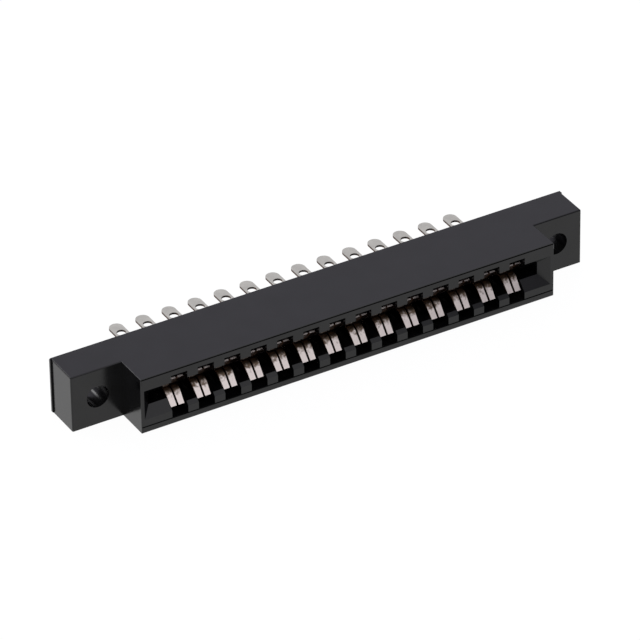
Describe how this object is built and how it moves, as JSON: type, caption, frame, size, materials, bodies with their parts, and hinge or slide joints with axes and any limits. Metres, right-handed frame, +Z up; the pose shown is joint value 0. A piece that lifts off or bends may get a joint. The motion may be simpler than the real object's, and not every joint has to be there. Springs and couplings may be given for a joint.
{
  "type": "card edge connector",
  "caption": "Panel-mounting edge connector that grips the edge of a printed circuit board between two rows of spring contacts joined to one row of solder eyelets.",
  "frame": {"origin": "middle of the length, on the underside, in the plane of the ears' front faces", "axes": "+X along the connector, +Y the way the card goes in, towards the solder tails, +Z up"},
  "size_m": [0.0784, 0.0184, 0.0084],
  "materials": {
    "moulding": "glass-filled thermoplastic moulding, semi-gloss black",
    "plated_contact": "tin-plated phosphor bronze strip, stamped and bent"
  },
  "bodies": {
    "root": {"housing": "moulding", "contact_upper_01": "plated_contact", "contact_upper_02": "plated_contact", "contact_upper_03": "plated_contact", "contact_upper_04": "plated_contact", "contact_upper_05": "plated_contact", "contact_upper_06": "plated_contact", "contact_upper_07": "plated_contact", "contact_upper_08": "plated_contact", "contact_upper_09": "plated_contact", "contact_upper_10": "plated_contact", "contact_upper_11": "plated_contact", "contact_upper_12": "plated_contact", "contact_upper_13": "plated_contact", "contact_upper_14": "plated_contact", "contact_lower_01": "plated_contact", "contact_lower_02": "plated_contact", "contact_lower_03": "plated_contact", "contact_lower_04": "plated_contact", "contact_lower_05": "plated_contact", "contact_lower_06": "plated_contact", "contact_lower_07": "plated_contact", "contact_lower_08": "plated_contact", "contact_lower_09": "plated_contact", "contact_lower_10": "plated_contact", "contact_lower_11": "plated_contact", "contact_lower_12": "plated_contact", "contact_lower_13": "plated_contact", "contact_lower_14": "plated_contact"}
  },
  "joints": []
}
